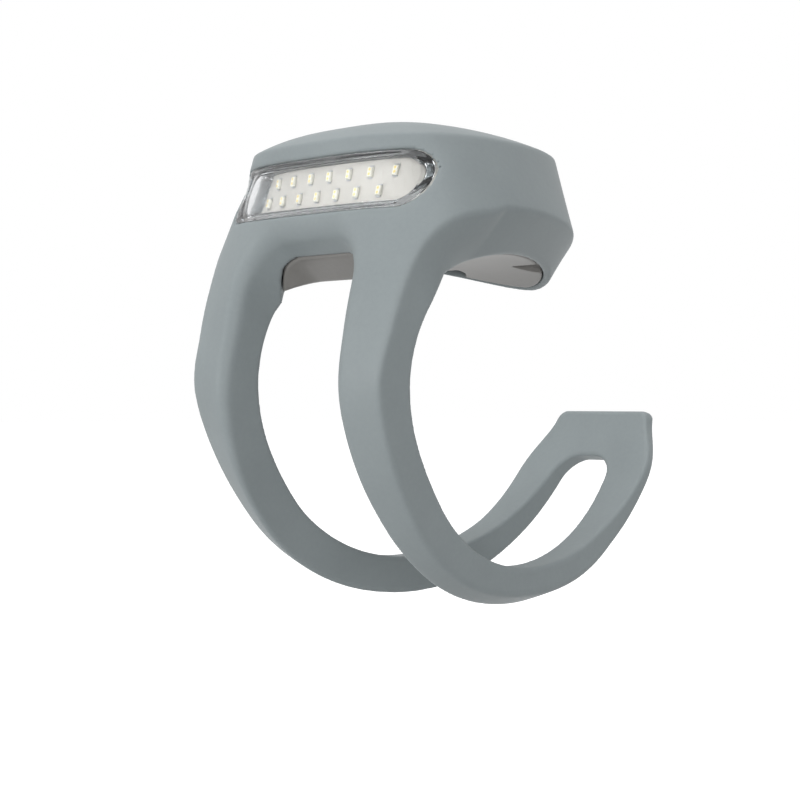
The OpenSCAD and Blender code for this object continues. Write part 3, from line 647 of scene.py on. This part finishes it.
def pad_ring(t):
    """Outline of the pad at the share t of its thickness."""
    pull = 0.35 * (2 * t - 1) ** 4
    w, l = (high[0] - low[0]) / 2 - pull, (high[1] - low[1]) / 2 - pull
    points = []
    for k in range(64):
        c, s = math.cos(k * math.pi / 32), math.sin(k * math.pi / 32)
        x = mid[0] + w * math.copysign(abs(c) ** 0.3, c)
        y = mid[1] + l * math.copysign(abs(s) ** 0.3, s)
        points.append((x, y, mix(low[2], high[2], t)))
    return points


pad = solid_mesh("foam_pad", [[pad_ring(t) for t in (0, 0.12, 0.3, 0.5, 0.7, 0.88, 1)]])
dress(pad, "foam")
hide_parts("battery_pad")
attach(pad, "light")

# Everything else keeps the solid model's shape
for name, node in frame["nodes"].items():
    if not node.hide_render:
        for holder in node.material_slots:
            holder.material = MATERIALS[slot_of[name]]

# Stage: camera, floor, world, lamps
RIGHT, BACK = Vector((0.6820, 0.7314, 0)), Vector((0.7314, -0.6820, 0))
camera = bpy.data.objects.new("camera", bpy.data.cameras.new("camera"))
bpy.context.scene.collection.objects.link(camera)
camera.data.sensor_width = 36
camera.data.sensor_fit = "AUTO"
camera.data.lens = 83.889
camera.data.clip_start = 0.005
camera.location = (RIGHT * -4.972 + BACK * 173.03 + Vector((0, 0, -0.935))) * MM
camera.rotation_euler = BACK.to_track_quat("Z", "Y").to_euler()
bpy.context.scene.camera = camera


def ray_white(nodes, links):
    """1 for camera, glossy and transmission rays, else 0."""
    path = nodes.new("ShaderNodeLightPath")
    total = path.outputs["Is Camera Ray"]
    for kind in ("Is Glossy Ray", "Is Transmission Ray"):
        add = nodes.new("ShaderNodeMath")
        add.operation = "MAXIMUM"
        links.new(total, add.inputs[0])
        links.new(path.outputs[kind], add.inputs[1])
        total = add.outputs[0]
    return total


floor_mesh = bpy.data.meshes.new("floor")
floor_corners = [(x, y, FLOOR_Z) for x, y in ((-3, -3), (3, -3), (3, 3), (-3, 3))]
floor_mesh.from_pydata(floor_corners, [], [(0, 1, 2, 3)])
floor = bpy.data.objects.new("floor", floor_mesh)
bpy.context.scene.collection.objects.link(floor)
floor_look = bpy.data.materials.new("floor")
floor_look.use_nodes = True
nodes, links = floor_look.node_tree.nodes, floor_look.node_tree.links
nodes.clear()
f_out = nodes.new("ShaderNodeOutputMaterial")
f_diffuse = nodes.new("ShaderNodeBsdfDiffuse")
f_diffuse.inputs["Color"].default_value = (0.55, 0.55, 0.55, 1)
f_glow = nodes.new("ShaderNodeEmission")
f_gain = nodes.new("ShaderNodeMath")
f_gain.operation = "MULTIPLY"
f_add = nodes.new("ShaderNodeAddShader")
place = nodes.new("ShaderNodeNewGeometry")
far = nodes.new("ShaderNodeVectorMath")
far.operation = "LENGTH"
near_white = nodes.new("ShaderNodeMapRange")
near_white.inputs["From Min"].default_value = 0.08
near_white.inputs["From Max"].default_value = 0.25
near_white.inputs["To Min"].default_value = 0.78
near_white.inputs["To Max"].default_value = 1.0
links.new(place.outputs["Position"], far.inputs[0])
links.new(far.outputs["Value"], near_white.inputs["Value"])
links.new(ray_white(nodes, links), f_gain.inputs[0])
links.new(near_white.outputs["Result"], f_gain.inputs[1])
links.new(f_gain.outputs[0], f_glow.inputs["Strength"])
links.new(f_diffuse.outputs[0], f_add.inputs[0])
links.new(f_glow.outputs[0], f_add.inputs[1])
links.new(f_add.outputs[0], f_out.inputs["Surface"])
floor.data.materials.append(floor_look)

world = bpy.data.worlds.new("studio")
bpy.context.scene.world = world
world.use_nodes = True
nodes, links = world.node_tree.nodes, world.node_tree.links
nodes.clear()
w_out = nodes.new("ShaderNodeOutputWorld")
w_back = nodes.new("ShaderNodeBackground")
w_back.inputs["Color"].default_value = (1, 1, 1, 1)
w_level = nodes.new("ShaderNodeMapRange")
w_level.inputs["To Min"].default_value = 0.30
w_level.inputs["To Max"].default_value = 1.0
links.new(ray_white(nodes, links), w_level.inputs["Value"])
links.new(w_level.outputs["Result"], w_back.inputs["Strength"])
links.new(w_back.outputs[0], w_out.inputs["Surface"])


def lamp(name, right, back, up, width, height, power):
    """A soft box at a place given in the photograph's directions, aimed at the lamp head."""
    light = bpy.data.lights.new(name, "AREA")
    light.shape = "RECTANGLE"
    light.size, light.size_y = width, height
    light.energy = power
    o = bpy.data.objects.new(name, light)
    bpy.context.scene.collection.objects.link(o)
    o.location = RIGHT * right + BACK * back + Vector((0, 0, up))
    aim = Vector((0, -0.006, 0.008)) - o.location
    o.rotation_euler = aim.to_track_quat("-Z", "Y").to_euler()
    return o


lamp("top_box", 0.0, 0.0, 0.60, 0.6, 0.6, 2.25)
lamp("left_box", -0.60, 0.25, 0.0, 0.4, 0.4, 2.7)
lamp("front_box", 0.0, 0.70, 0.10, 0.4, 0.4, 2.05)

bpy.context.scene.view_settings.view_transform = "Standard"
